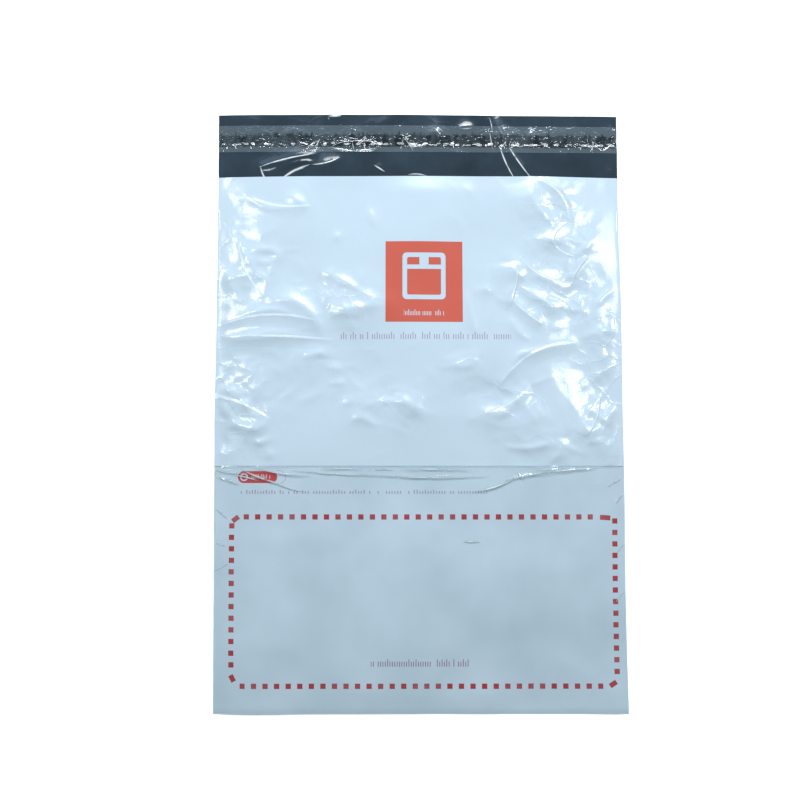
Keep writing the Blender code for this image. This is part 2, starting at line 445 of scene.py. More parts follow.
pocketCreases = [
    (0.35, 1.6, -139, -41, -131, -43, -122, -42),
    (0.45, 1.8, -117, -44, -107, -49, -98, -52, -83, -57),
    (0.45, 2, -139, -46, -131, -51, -120, -53),
    (0.45, 1.8, -112, -40, -98, -45, -76, -47),
    (0.3, 1.5, -74, -43, -64, -42, -45, -43, -35, -42),
    (0.4, 1.7, -71, -45, -35, -46, 3, -48, 24, -47, 46, -47),
    (0.3, 1.5, -7, -43, 1, -42, 18, -43, 31, -43, 38, -46, 46, -47),
    (0.6, 2.5, 40, -58, 48, -57, 56, -52, 66, -48, 78, -46, 90, -44, 106, -43, 119, -43),
    (0.3, 1.5, 68, -43, 69, -47),
    (0.3, 1.8, 106, -51, 113, -49),
    (0.3, 1.5, -81, -62, -75, -64),
    (0.3, 1.8, 30, -92, 40, -92),
    (0.4, 2, 132, -67, 134, -63),
    (0.3, 2, -139, -59, -135, -58),
    (0.3, 2, -139, -66, -135, -65),
    (0.3, 2, -139, -78, -134, -77),
    (0.3, 2, -139, -99, -134, -99),
    (0.3, 2, -138, -130, -133, -130),
    (0.3, 2, -138, -177, -131, -179),
    (0.3, 2, 140, -133, 133, -130),
    (0.3, 2, 140, -150, 134, -152),
    (0.3, 2, 139, -196, 133, -194),
]


def makePocket(front, materials):
    half = halfWidth - pocket["margin"]
    xs = np.linspace(-half, half, 281)
    ys = np.concatenate([np.linspace(bottomY + pocket["margin"], lipY - 0.028, 60)[:-1],
                         np.linspace(lipY - 0.028, lipY, 52)])
    px, py = np.meshgrid(xs, ys)
    base = heightAt(front, px, py) + bag["film"] / 2 + pocket["film"] / 2 + pocket["clearance"]
    cell = xs[1] - xs[0]
    loose = ramp(half - np.abs(px), 0.0002, 0.006) * ramp(py - bottomY, 0.001, 0.010)
    nearLip = ramp(py, lipY - 0.03, lipY)
    swell = np.abs(softNoise(px.shape, 0.012 / cell, 31)) * (0.00012 + 0.00025 * nearLip)
    waves = 0.75 + 0.25 * softNoise(px.shape, 0.02 / cell, 32)
    lip = pocket["lipRise"] * ramp(py, lipY - 0.012, lipY) * waves
    rise = (swell + lip + creaseField(px, py, pocketCreases, crest=0.0002) * 2.2) * loose
    rows, columns = px.shape
    points = np.stack([px, py, base + rise], -1).reshape(-1, 3)
    piece = meshPiece("document_pocket", points, gridFaces(rows, columns), points[:, :2], materials)
    thicken(piece, pocket["film"])
    return piece


glue = {"thickness": 0.00010, "lift": 0.00004, "edgeWander": 0.00035}
liner = {
    "film": 0.00005,
    "clearance": 0.00008,
    "glintRingRows": ((0.1862, 0.0078, 3.0), (0.1866, 0.0093, 8.0)),  # rows of painted highlight rings round air bubbles: (middle, pitch, seed)
    "beadPitch": 7.5,  # mm between the small blisters along the glue's lower edge
    "columns": 640,
    "rows": 44,
}
linerCreases = [
    (0.5, 1.6, -61, 183, -56, 187, -37, 188, -30, 185, -33, 181, -52, 180, -61, 183),
    (0.5, 1.6, -13, 183, -9, 190, -4, 182),
    (0.4, 1.6, -13, 184, 3, 184),
]


def makeGlue(flap, materials):
    xs = np.linspace(glueLow.x, glueHigh.x, 281)
    across = np.linspace(-1, 1, 9)
    middle, half = (glueLow.y + glueHigh.y) / 2, (glueHigh.y - glueLow.y) / 2
    wander = softNoise((1, xs.size), 6, 41)[0] * glue["edgeWander"]
    wanderLow = softNoise((1, xs.size), 4, 42)[0] * glue["edgeWander"]
    px = np.tile(xs, (across.size, 1))
    share = across[:, None]
    py = middle + share * half + np.where(share > 0, wander, wanderLow) * np.abs(share)
    pz = heightAt(flap, px, py)
    pz += bag["film"] / 2 + glue["lift"] + glue["thickness"] / 2
    points = np.stack([px, py, pz], -1).reshape(-1, 3)
    piece = meshPiece("glue_line", points, gridFaces(*px.shape), points[:, :2], materials)
    thicken(piece, glue["thickness"])
    return piece


def makeLiner(flap, materials):
    xs = np.linspace(linerLow.x, linerHigh.x, liner["columns"] + 1)
    ys = np.linspace(linerLow.y, linerHigh.y, liner["rows"] + 1)
    px, py = np.meshgrid(xs, ys)
    cell = xs[1] - xs[0]
    base = heightAt(flap, px, py)
    base += bag["film"] / 2 + glue["lift"] * 2 + glue["thickness"] + liner["clearance"]
    pick = np.random.default_rng(51)
    beads = []
    lowerEdge = glueLow.y / mm + 0.4
    place = linerLow.x / mm + 8
    while place < linerHigh.x / mm - 6:
        wide, tall, lift = pick.uniform(0.6, 2.2), pick.uniform(0.5, 1.1), pick.uniform(-0.5, 0.7)
        turns = np.linspace(0, 6.283, 6)
        oval = [p for a in turns for p in (place + wide * math.cos(a), lowerEdge + lift + tall * math.sin(a))]
        beads.append((pick.uniform(0.25, 0.5), pick.uniform(0.45, 0.7), *oval))
        place += liner["beadPitch"] * pick.uniform(0.7, 1.4)
    ribs = np.abs(softNoise(px.shape, 3.2, 52, stretch=0.25)) * 0.00008  # fine ripples over the glue
    swell = np.abs(softNoise(px.shape, 0.010 / cell, 53)) * 0.00012
    wetted = ramp(py, glueLow.y - 0.0005, glueLow.y + 0.001) * ramp(glueHigh.y - py, -0.0005, 0.001)
    rise = ribs * (0.4 + 0.6 * wetted) + swell * (1 - 0.5 * wetted)
    rise += creaseField(px, py, linerCreases, crest=0.0003) + creaseField(px, py, beads, crest=0.0003)
    points = np.stack([px, py, base + rise], -1).reshape(-1, 3)
    piece = meshPiece("release_liner_tape", points, gridFaces(*px.shape), points[:, :2], materials)
    teeth = softNoise((1, px.shape[1]), 1.6, 54)[0] * 0.0011
    wet = ramp(py, glueLow.y - 0.0004, glueLow.y + 0.0004)
    wet *= ramp(glueHigh.y + teeth - py, -0.0003, 0.0003)
    wet *= 0.75 + 0.25 * np.clip(softNoise(px.shape, 5, 55, stretch=2.5), -1, 1)
    wetness = piece.data.attributes.new("wetted", "FLOAT", "POINT")
    wetness.data.foreach_set("value", wet.ravel().astype(np.float32))
    thicken(piece, liner["film"])
    return piece


class Wire:  # a node's output that takes plain arithmetic
    def __init__(self, tree, socket):
        self.tree = tree
        self.socket = socket

    def __add__(self, other):
        return calc(self.tree, "ADD", self, other)

    def __sub__(self, other):
        return calc(self.tree, "SUBTRACT", self, other)

    def __mul__(self, other):
        return calc(self.tree, "MULTIPLY", self, other)

    def __truediv__(self, other):
        return calc(self.tree, "DIVIDE", self, other)

    def __gt__(self, other):
        return calc(self.tree, "GREATER_THAN", self, other)

    def __lt__(self, other):
        return calc(self.tree, "LESS_THAN", self, other)

    def __abs__(self):
        return calc(self.tree, "ABSOLUTE", self)


def addNode(tree, kind, **settings):
    node = tree.nodes.new(kind)
    for key, value in settings.items():
        setattr(node, key, value)
    return node


def plug(source, target):
    if isinstance(source, Wire):
        source.tree.links.new(source.socket, target)
    else:
        target.default_value = source


def calc(tree, operation, *values, clamp=False):
    node = addNode(tree, "ShaderNodeMath", operation=operation, use_clamp=clamp)
    for socket, value in zip(node.inputs, values):
        plug(value, socket)
    return Wire(tree, node.outputs[0])


def larger(a, b):
    return calc(a.tree, "MAXIMUM", a, b)


def softEdge(distance):  # 1 inside, 0 outside, changing over about 0.1 mm
    return calc(distance.tree, "MULTIPLY_ADD", distance, -9000.0, 0.5, clamp=True)


def blendColour(share, a, b):
    node = addNode(share.tree, "ShaderNodeMix", data_type="RGBA")
    plug(share, node.inputs["Factor"])
    plug(a, node.inputs[6])
    plug(b, node.inputs[7])
    return Wire(share.tree, node.outputs[2])


def noiseAt(tree, place, scale, detail=2.0):
    node = addNode(tree, "ShaderNodeTexNoise")
    node.inputs["Scale"].default_value = scale
    node.inputs["Detail"].default_value = detail
    plug(place, node.inputs["Vector"])
    return Wire(tree, node.outputs[0]), Wire(tree, node.outputs["Color"])


def splitParts(vector):
    node = addNode(vector.tree, "ShaderNodeSeparateXYZ")
    plug(vector, node.inputs[0])
    return [Wire(vector.tree, part) for part in node.outputs]


def diceAt(tree, index, seed):  # one random draw for each step of a row
    pair = addNode(tree, "ShaderNodeCombineXYZ")
    plug(index, pair.inputs[0])
    plug(seed, pair.inputs[1])
    node = addNode(tree, "ShaderNodeTexWhiteNoise", noise_dimensions="2D")
    plug(Wire(tree, pair.outputs[0]), node.inputs["Vector"])
    return Wire(tree, node.outputs["Value"]), Wire(tree, node.outputs["Color"])


def startGroup(name, inputs, outputs):  # an input without a value is a vector
    group = bpy.data.node_groups.new(name, "ShaderNodeTree")
    for title, value in inputs.items():
        kind = "NodeSocketVector" if value is None else "NodeSocketFloat"
        socket = group.interface.new_socket(name=title, in_out="INPUT", socket_type=kind)
        if value is not None:
            socket.default_value = value
    for title in outputs:
        group.interface.new_socket(name=title, in_out="OUTPUT", socket_type="NodeSocketFloat")
    start, end = group.nodes.new("NodeGroupInput"), group.nodes.new("NodeGroupOutput")
    return group, {title: Wire(group, start.outputs[title]) for title in inputs}, end.inputs


def useGroup(tree, group, values):
    node = addNode(tree, "ShaderNodeGroup", node_tree=group)
    for title, value in values.items():
        plug(value, node.inputs[title])
    return {output.name: Wire(tree, output) for output in node.outputs}


def filmGrainGroup():
    # blown film: faint lines along its length, a soft orange peel and sparse tiny creases
    group, g, end = startGroup("film grain", {"Place": None, "Lines": 0.4, "Peel": 0.5, "Creases": 0.5},
                               ("Height", "Tone"))
    stretch = addNode(group, "ShaderNodeMapping")
    stretch.inputs["Scale"].default_value = (900, 22, 22)
    plug(g["Place"], stretch.inputs["Vector"])
    lines = noiseAt(group, Wire(group, stretch.outputs[0]), 1)[0]
    peel = noiseAt(group, g["Place"], 260, 3)[0]
    tone, scatter = noiseAt(group, g["Place"], 38, 4)
    bent = addNode(group, "ShaderNodeVectorMath", operation="MULTIPLY_ADD")
    plug(scatter, bent.inputs[0])
    bent.inputs[1].default_value = (0.03, 0.03, 0.0)
    plug(g["Place"], bent.inputs[2])
    cells = addNode(group, "ShaderNodeTexVoronoi", feature="DISTANCE_TO_EDGE", voronoi_dimensions="2D")
    cells.inputs["Scale"].default_value = 62
    plug(Wire(group, bent.outputs[0]), cells.inputs["Vector"])
    fold = calc(group, "EXPONENT", Wire(group, cells.outputs["Distance"]) * -16.0)
    plug(lines * g["Lines"] + peel * g["Peel"] + fold * g["Creases"], end["Height"])
    plug(tone, end["Tone"])
    return group


def barGroup():  # mask of one rounded bar
    group, g, end = startGroup("print bar", {"U": 0.0, "V": 0.0, "Middle U": 0.0, "Middle V": 0.0,
                                             "Half Width": 0.01, "Half Height": 0.01, "Corner": 0.001},
                               ("Mask",))
    du = abs(g["U"] - g["Middle U"]) - (g["Half Width"] - g["Corner"])
    dv = abs(g["V"] - g["Middle V"]) - (g["Half Height"] - g["Corner"])
    pu, pv = larger(du, 0.0), larger(dv, 0.0)
    inner = calc(group, "MINIMUM", larger(du, dv), 0.0)
    plug(softEdge(calc(group, "SQRT", pu * pu + pv * pv) + inner - g["Corner"]), end["Mask"])
    return group


def tallyGroup():
    # a row of plain upright ticks in a few clumps, standing in for a line of small print
    group, g, end = startGroup("tally row", {"U": 0.0, "V": 0.0, "Middle V": 0.0, "Tick Height": 0.003,
                                             "Pitch": 0.0013, "Tick Share": 0.4, "Seed": 1.0}, ("Mask",))
    steps = g["U"] / g["Pitch"]
    index = calc(group, "FLOOR", steps)
    inStep = abs(calc(group, "FRACT", steps) - 0.5)
    tick = calc(group, "MULTIPLY_ADD", inStep - g["Tick Share"] * 0.5, -9.0, 0.5, clamp=True)
    tall = diceAt(group, index, g["Seed"])[0] > 0.74
    present = diceAt(group, index, g["Seed"] + 17.0)[0] > 0.14
    height = g["Tick Height"] * (tall * 0.45 + 1.0)
    above = g["V"] - g["Middle V"]
    plug(tick * present * ((above > 0.0) * (above < height)), end["Mask"])
    return group


def markRunGroup():  # a straight run of small square marks
    group, g, end = startGroup("mark run", {"Along": 0.0, "Across": 0.0, "Middle": 0.0, "Offset": 0.0,
                                            "Half Run": 0.1, "Pitch": 0.0078, "Phase": 0.0,
                                            "Half Mark": 0.0018}, ("Mask",))
    along = g["Along"] - g["Middle"]
    part = calc(group, "FRACT", along / g["Pitch"] + g["Phase"] + 100.5)
    away = abs(part - 0.5) * g["Pitch"]
    aside = abs(g["Across"] - g["Offset"])
    plug(softEdge(larger(away, aside) - g["Half Mark"]) * (abs(along) < g["Half Run"]), end["Mask"])
    return group


def turnedMarkGroup():  # one mark that leans
    group, g, end = startGroup("turned mark", {"U": 0.0, "V": 0.0, "Middle U": 0.0, "Middle V": 0.0,
                                               "Lean": 0.6, "Half Long": 0.0026, "Half Short": 0.0017},
                               ("Mask",))
    du, dv = g["U"] - g["Middle U"], g["V"] - g["Middle V"]
    c, k = calc(group, "COSINE", g["Lean"]), calc(group, "SINE", g["Lean"])
    along, aside = du * c + dv * k, dv * c - du * k
    plug(softEdge(larger(abs(along) - g["Half Long"], abs(aside) - g["Half Short"])), end["Mask"])
    return group


def foldLineGroup():
    # one thin crease: Along is its direction over its length, Aside the unit vector to its left
    group, g, end = startGroup("fold line", {"Place": None, "From": None, "Along": None, "Aside": None,
                                             "Bow": 0.0, "Width": 0.001, "Rise": 0.0002}, ("Height", "Crest"))
    away = addNode(group, "ShaderNodeVectorMath", operation="SUBTRACT")
    plug(g["Place"], away.inputs[0])
    plug(g["From"], away.inputs[1])
    parts = []
    for direction in ("Along", "Aside"):
        dot = addNode(group, "ShaderNodeVectorMath", operation="DOT_PRODUCT")
        plug(Wire(group, away.outputs[0]), dot.inputs[0])
        plug(g[direction], dot.inputs[1])
        parts.append(Wire(group, dot.outputs["Value"]))
    share = calc(group, "ADD", parts[0], 0.0, clamp=True)
    hump = share * calc(group, "SUBTRACT", 4.0, share * 4.0)
    aside = parts[1] - hump * g["Bow"]
    thin = g["Width"] * (hump * 0.44 + 0.10)
    line = calc(group, "SUBTRACT", 1.0, abs(aside) / thin, clamp=True)
    lean = larger(aside, aside * -0.16)  # steep on the left, gentle on the right
    fall = calc(group, "SUBTRACT", 1.0, lean / g["Width"], clamp=True)
    fade = calc(group, "SQRT", hump)
    plug(fall * fade * g["Rise"], end["Height"])
    # Crest: the line's mask, used to paint a pale highlight along it in place of a glint
    plug(line * fade, end["Crest"])
    return group


def paintedBubbleGlintGroup():
    # painted highlight rings along the outlines of small flat air bubbles in a row, each of its own size
    group, g, end = startGroup("painted bubble glints", {"U": 0.0, "V": 0.0, "Middle V": 0.0, "Pitch": 0.004, "Seed": 1.0},
                               ("Mask",))
    steps = g["U"] / g["Pitch"]
    draw, draws = diceAt(group, calc(group, "FLOOR", steps), g["Seed"])
    wide, tall, lift = splitParts(draws)
    across = (calc(group, "FRACT", steps) - 0.5) * g["Pitch"] / (wide * 0.0011 + 0.0006)
    up = (g["V"] - ((lift - 0.5) * 0.0012 + g["Middle V"])) / (tall * 0.0005 + 0.0004)
    reach = calc(group, "SQRT", across * across + up * up)
    rim = calc(group, "SUBTRACT", 1.0, abs(reach - 0.8) * 2.0, clamp=True)
    plug(rim * (draw > 0.35), end["Mask"])
    return group


def startMaterial(name):
    material = bpy.data.materials.new(name)
    material.use_nodes = True
    tree = material.node_tree
    flat = addNode(tree, "ShaderNodeUVMap", uv_map="flatMetres")
    return material, tree, tree.nodes["Principled BSDF"].inputs, Wire(tree, flat.outputs[0])


def addRelief(tree, shader, place, kit, relief, folds=(), busy=None):
    # film grain plus this film's own thin creases, each (x1, y1, x2, y2, bow, width, rise) in mm
    lines, peel, creases, depth = relief
    if busy is not None:
        creases = calc(tree, "SUBTRACT", busy, 0.12, clamp=True) * creases
    grain = useGroup(tree, kit["grain"], {"Place": place, "Lines": lines, "Peel": peel, "Creases": creases})
    height = grain["Height"] * depth
    # crest gathers the creases' line masks, which carry a pale painted highlight in place of glints
    crest = None
    for x1, y1, x2, y2, bow, width, rise in folds:
        if x2 < x1 and abs(x2 - x1) > abs(y2 - y1):  # the steep side faces up the bag
            x1, y1, x2, y2, bow = x2, y2, x1, y1, -bow
        run, climb = x2 - x1, y2 - y1
        length = math.hypot(run, climb)
        fold = useGroup(tree, kit["fold"], {
            "Place": place,
            "From": (x1 * mm, y1 * mm, 0),
            "Along": (run / length ** 2 / mm, climb / length ** 2 / mm, 0),
            "Aside": (-climb / length, run / length, 0),
            "Bow": bow * mm,
            "Width": width * mm,
            "Rise": rise * mm,
        })
        height = height + fold["Height"]
        crest = fold["Crest"] if crest is None else larger(crest, fold["Crest"])
    bump = addNode(tree, "ShaderNodeBump")
    bump.inputs["Strength"].default_value = 1.0
    bump.inputs["Distance"].default_value = 1.0
    plug(height, bump.inputs["Height"])
    plug(Wire(tree, bump.outputs[0]), shader["Normal"])
    if crest is not None:  # painted highlight: pale colour along the thin creases stands in for their glints, stronger in some places than others
        patches = noiseAt(tree, place, 170)[0]
        crest = crest * calc(tree, "MULTIPLY_ADD", patches, 4.0, -1.0, clamp=True)
    return grain["Tone"], crest


def readValue(tree, name):  # a value stored on the mesh's points
    node = addNode(tree, "ShaderNodeAttribute", attribute_type="GEOMETRY", attribute_name=name)
    return Wire(tree, node.outputs["Fac"])


panelFolds = [  # (x1, y1, x2, y2, bow, width, rise) in mm
    (104, 131, 107, 106, -12, 1.35, 0.48),
    (118, 106, 106, 86, -2, 1.2, 0.42),
    (107, 87, 70, 106, 5, 1.2, 0.45),
    (68, 98, 61, 68, 2, 1.05, 0.38),
    (70, 85, 95, 68, 1, 1.05, 0.38),
    (63, 77, 85, 58, -1, 1.05, 0.38),
    (-127, 124, -108, 77, -4, 1.35, 0.45),
    (-139, 57, -71, 60, 6, 1.35, 0.45),
    (-137, 50, -60, 47, 1, 1.2, 0.38),
    (-140, 9, -102, -8, 2, 1.35, 0.52),
    (108, 46, 54, 14, -8, 1.35, 0.45),
    (45, -4, 74, 12, -2, 1.35, 0.45),
    (124, 8, 113, -20, 3, 1.2, 0.45),
    (-120, 149, -76, 142, -3, 1.35, 0.38),
    (82, 161, 105, 131, 7, 1.35, 0.42),
]
flapFolds = [
    (70, 159, 55, 195, 2.4, 1.32, 0.15),
    (84, 158, 57, 199, 2.4, 1.32, 0.15),
    (-112, 170, -74, 179, 1.4, 1.32, 0.15),
    (-106, 160, -111, 171, 0.8, 1.43, 0.125),
    (-99, 160, -76, 172, 1.6, 1.98, 0.15),
    (-92, 165, -80, 170, 0.8, 1.76, 0.12),
    (-110, 168, -100, 170, -0.6, 1.54, 0.12),
    (-76, 172, -56, 177, -1.5, 1.1, 0.11),
    (-64, 206.5, -55, 206.5, 0, 1.98, 0.15),
    (28, 199, 38, 200, 1, 1.32, 0.1),
    (29, 198, 38, 198.5, -0.5, 1.1, 0.1),
    (-32, 172, -24, 167, 0, 1.21, 0.11),
    (-8, 165, 6, 164, 1, 0.99, 0.08),
    (50, 206, 52, 196, 0.3, 0.77, 0.07),
]
pocketFolds = [
    (-140, -43, -118, -45, -0.6, 1.38, 0.04),
    (-122, -42, -92, -53, -1.2, 1.72, 0.065),
    (-100, -50, -78, -58, -1, 1.38, 0.06),
    (-139, -48, -122, -53, 0.8, 1.38, 0.055),
    (-128, -46, -108, -51, 0.6, 1.15, 0.045),
    (-112, -42, -74, -47, -0.8, 1.38, 0.05),
    (-88, -43, -20, -47, -0.8, 1.38, 0.05),
    (-40, -46, 48, -47.5, -1.4, 1.72, 0.06),
    (-68, -42.5, -38, -42.5, 0.6, 0.92, 0.03),
    (-36, -43, -18, -43, 0.5, 0.92, 0.03),
    (-14, -43, 36, -43.5, 0.6, 1.26, 0.04),
    (36, -58, 68, -47, -1.6, 2.18, 0.075),
    (58, -50, 92, -44, 0.8, 1.84, 0.065),
    (80, -46, 122, -41.5, 0.8, 1.49, 0.055),
    (66, -44, 71, -50, 0.4, 1.26, 0.05),
    (78, -43, 100, -42, 0.3, 0.92, 0.03),
    (29, -92, 41, -92, 0.4, 1.72, 0.05),
    (-139, -70, -131, -76, 0.4, 1.38, 0.05),
    (-139, -93, -132, -95, 0.3, 1.38, 0.045),
    (-139, -112, -130, -107, 0.5, 1.26, 0.045),
    (134, -66, 139, -60, 0.4, 1.49, 0.055),
    (128, -55, 138, -49, 0.5, 1.38, 0.05),
    (134, -100, 139, -94, 0.3, 1.26, 0.045),
    (133, -133, 139, -126, 0.4, 1.15, 0.045),
]


linerFolds = [
    (-62, 184, -52, 188, 0.6, 0.8, 0.2),
    (-52, 188, -31, 188, 0.5, 0.8, 0.2),
    (-31, 188, -28, 184, 0.4, 0.8, 0.2),
    (-62, 184, -45, 181.5, -0.4, 0.8, 0.2),
    (-45, 181.5, -28, 184, -0.3, 0.8, 0.2),
    (-47, 188, -46, 182, 0, 0.7, 0.2),
    (-39, 188, -38, 182, 0, 0.7, 0.2),
    (-13, 182, -11, 191, 0, 0.8, 0.2),
    (-11, 191, -4, 181, 0.6, 0.8, 0.2),
    (-9, 185, 4, 186, 0.3, 0.7, 0.2),
    (52, 183, 50, 196, 0, 0.7, 0.15),
    (57, 183, 62, 188, 0.5, 0.9, 0.2),
    (62, 186, 75, 185, 0.2, 0.7, 0.2),
    (-78, 184, -70, 189, 0.6, 1.2, 0.25),
    (-72, 183, -70, 190, 0.4, 1.0, 0.25),
    (122, 181, 124, 189, 0.3, 0.9, 0.2),
    (130, 182, 137, 187, 0.3, 1.1, 0.2),
]


printWork = {  # sizes in metres, places from the middle of the bag
    "shift": 0.0030,  # the whole print sits this far to the right
    "squareMiddle": (0.0003, 0.0880),
    "squareHalf": (0.0268, 0.0285),
    "pillMiddle": (-0.1134, -0.0477),
    "pillHalf": (0.0134, 0.0041),
    "tallies": {  # rows of ticks, each shown inside its own bar
        "caption": {"foot": 0.0642, "pitch": 0.0011, "tall": 0.0028, "share": 0.42, "seed": 5.0,
                    "middle": (0.0003, 0.0660), "half": (0.0140, 0.0040)},
        "line": {"foot": 0.0475, "pitch": 0.00165, "tall": 0.0034, "share": 0.30, "seed": 2.0,
                 "middle": (0.0012, 0.0505), "half": (0.0590, 0.006)},
        "note": {"foot": -0.1757, "pitch": 0.0016, "tall": 0.0034, "share": 0.36, "seed": 9.0,
                 "middle": (-0.003, -0.1735), "half": (0.0332, 0.0050)},
        "small": {"foot": -0.0592, "pitch": 0.0019, "tall": 0.0019, "share": 0.42, "seed": 13.0,
                  "middle": (-0.041, -0.058), "half": (0.084, 0.0030)},
        "pill": {"foot": -0.0488, "pitch": 0.0011, "tall": 0.0020, "share": 0.40, "seed": 21.0,
                 "middle": (-0.1112, -0.0477), "half": (0.0072, 0.0030)},
    },
    "markRuns": (  # (a row and not a column, middle, offset, half length, phase)
        (True, -0.0040, -0.0749, 0.1190, 0.0),
        (True, -0.0022, -0.1888, 0.1225, 0.5),
        (False, -0.1278, -0.1308, 0.0486, 0.0),
        (False, -0.1284, 0.1299, 0.0525, 0.5),
    ),
    "cornerMarks": (  # (u, v, lean in degrees, half length, half width)
        (-0.1283, -0.0763, 38, 0.0026, 0.0017),
        (0.1233, -0.0754, -4, 0.0036, 0.0017),
        (-0.1299, -0.1836, -62, 0.0024, 0.0017),
        (0.1271, -0.1874, 33, 0.0026, 0.0017),
    ),
    "red": (0.61, 0.122, 0.085, 1),
    "pillRed": (0.52, 0.045, 0.042, 1),
    "darkRed": (0.40, 0.022, 0.030, 1),
    "plum": (0.30, 0.17, 0.27, 1),
    "film": (0.57, 0.697, 0.795, 1),
    "filmShade": (0.55, 0.677, 0.775, 1),
    # a pale painted highlight colour, laid along thin creases in place of their glints
    "paintedGlint": (0.92, 0.97, 1.0, 1),
}


def printedFilm(kit):
    material, tree, shader, place = startMaterial("printed white film")
    w = printWork
    x, v, _ = splitParts(place)
    u = x - w["shift"]

    def bar(middle, half, corner):
        return useGroup(tree, kit["bar"], {
            "U": u, "V": v, "Middle U": middle[0], "Middle V": middle[1],
            "Half Width": half[0], "Half Height": half[1], "Corner": corner})["Mask"]

    def ticks(name):
        row = w["tallies"][name]
        mask = useGroup(tree, kit["tally"], {
            "U": u, "V": v, "Middle V": row["foot"], "Pitch": row["pitch"],
            "Tick Height": row["tall"], "Tick Share": row["share"], "Seed": row["seed"]})["Mask"]
        return mask * bar(row["middle"], row["half"], 0.0001)

    def minus(a, b):
        return calc(tree, "SUBTRACT", a, b, clamp=True)

    def frameOf(middle, outer, inner, corners):
        return minus(bar(middle, outer, corners[0]), bar(middle, inner, corners[1]))

    # a plain parcel stands on the square: a box outline with a lid line and its tape
    su, sv = w["squareMiddle"]
    box = frameOf((su, sv + 0.004), (0.0150, 0.0165), (0.0118, 0.0133), (0.0030, 0.0014))
    lid = bar((su, sv + 0.0105), (0.0135, 0.0015), 0.0006)
    tape = bar((su, sv + 0.0155), (0.0032, 0.0050), 0.0004)
    figure = larger(larger(larger(box, lid), tape), ticks("caption"))
    square = minus(bar(w["squareMiddle"], w["squareHalf"], 0.0002), figure)

    pu, pv = w["pillMiddle"]
    ring = frameOf((pu - 0.0092, pv), (0.0027, 0.0027), (0.0018, 0.0018), (0.0027, 0.0018))
    pill = minus(bar(w["pillMiddle"], w["pillHalf"], w["pillHalf"][1]), larger(ring, ticks("pill")))
    hoop = frameOf((pu + 0.0014, pv), (0.0178, 0.0046), (0.0175, 0.0043), (0.0046, 0.0043))
    hoop = hoop * (u > pu + 0.013)

    # rounded frame of small marks: two rows, two columns and a turned mark at each corner
    marks = None
    for isRow, middle, offset, halfRun, phase in w["markRuns"]:
        run = useGroup(tree, kit["run"], {
            "Along": u if isRow else v, "Across": v if isRow else u, "Middle": middle,
            "Offset": offset, "Half Run": halfRun, "Phase": phase})["Mask"]
        marks = run if marks is None else larger(marks, run)
    for middleU, middleV, lean, halfLong, halfShort in w["cornerMarks"]:
        turned = useGroup(tree, kit["turned"], {
            "U": u, "V": v, "Middle U": middleU, "Middle V": middleV,
            "Lean": math.radians(lean), "Half Long": halfLong, "Half Short": halfShort})["Mask"]
        marks = larger(marks, turned)

    relief = (0.25, 0.4, 2.2, 0.00012)
    tone, crest = addRelief(tree, shader, place, kit, relief, panelFolds, readValue(tree, "busy"))
    worn = calc(tree, "MULTIPLY_ADD", tone, 0.5, 0.72, clamp=True)  # ink lies unevenly
    colour = blendColour(tone, w["filmShade"], w["film"])
    for mask, ink in (
        # painted highlight along the panel's thin creases
        (crest * 0.7, "paintedGlint"),
        (square, "red"),
        (ticks("line") * 0.85, "plum"),
        (ticks("note"), "plum"),
        (ticks("small") * 0.65, "plum"),
        (hoop * 0.6, "darkRed"),
        (pill, "pillRed"),
        (marks * worn, "darkRed"),
    ):
        colour = blendColour(mask, colour, w[ink])
    plug(colour, shader["Base Color"])
    plug(tone * 0.05 + 0.165, shader["Roughness"])
    shader["IOR"].default_value = 1.58
    return material


def plainFilm(name, kit, colours, roughness, relief, folds=(), ior=1.52):
    material, tree, shader, place = startMaterial(name)
    tone, crest = addRelief(tree, shader, place, kit, relief, folds)
    colour = blendColour(tone, *colours)
    # painted highlight: the creases' lines take a pale colour in place of glints
    if crest is not None:
        colour = blendColour(crest, colour, printWork["paintedGlint"])
    plug(colour, shader["Base Color"])
    plug(tone * 0.06 + (roughness - 0.03), shader["Roughness"])
    shader["IOR"].default_value = ior
    return material


def clearFilm(kit):
    material, tree, shader, place = startMaterial("clear pocket film")
    tone, crest = addRelief(tree, shader, place, kit, (0.2, 0.3, 0.4, 0.00006), pocketFolds)
    _, v, _ = splitParts(place)
    # painted shade: a darker, denser band along the lip stands in for the thin shadow line at the pocket's
    # edge
    paintedLipShade = calc(tree, "MULTIPLY_ADD", v - lipY, 2500.0, 1.6, clamp=True)
    cloud = noiseAt(tree, place, 17, 3)[0]  # its haze varies in soft cloudy patches
    near = larger((cloud - 0.5) * 0.16 + 0.045, 0.02)
    body = blendColour(tone, (0.12, 0.24, 0.23, 1), (0.22, 0.38, 0.42, 1))
    body = blendColour(paintedLipShade, body, (0.22, 0.30, 0.34, 1))
    # painted highlight: along the creases the film turns pale and less clear in place of glints
    plug(blendColour(crest, body, printWork["paintedGlint"]), shader["Base Color"])
    plug(calc(tree, "MULTIPLY_ADD", crest, 0.85, paintedLipShade * 0.30 + near, clamp=True), shader["Alpha"])
    shader["Roughness"].default_value = 0.09
    shader["IOR"].default_value = 1.9
    return material


